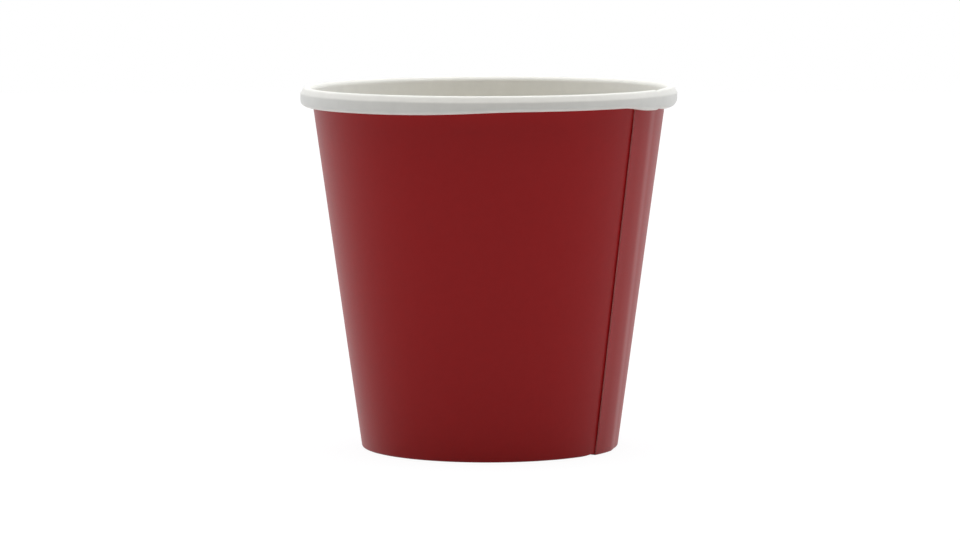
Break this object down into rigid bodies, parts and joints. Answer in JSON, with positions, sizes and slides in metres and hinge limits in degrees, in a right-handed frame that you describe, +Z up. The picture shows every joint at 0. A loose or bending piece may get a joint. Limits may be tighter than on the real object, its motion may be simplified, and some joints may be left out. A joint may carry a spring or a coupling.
{
  "type": "paper cup",
  "caption": "Squat conical paper hot cup with a rolled rim, a lapped side seam and a recessed base disc held in the folded foot.",
  "frame": {"origin": "middle of the ring that the cup stands on", "axes": "+Z up along the cup's axis, the front faces -Y, the lap's cut edge is 34.1 degrees from +X towards -Y"},
  "size_m": [0.09, 0.09, 0.0863],
  "materials": {
    "printed_board": "coated cup board, printed crimson and varnished outside, white and coated inside and over the rim",
    "plain_board": "white coated cup board"
  },
  "bodies": {
    "root": {"side_wall": "printed_board", "base_disc": "plain_board"}
  },
  "joints": []
}
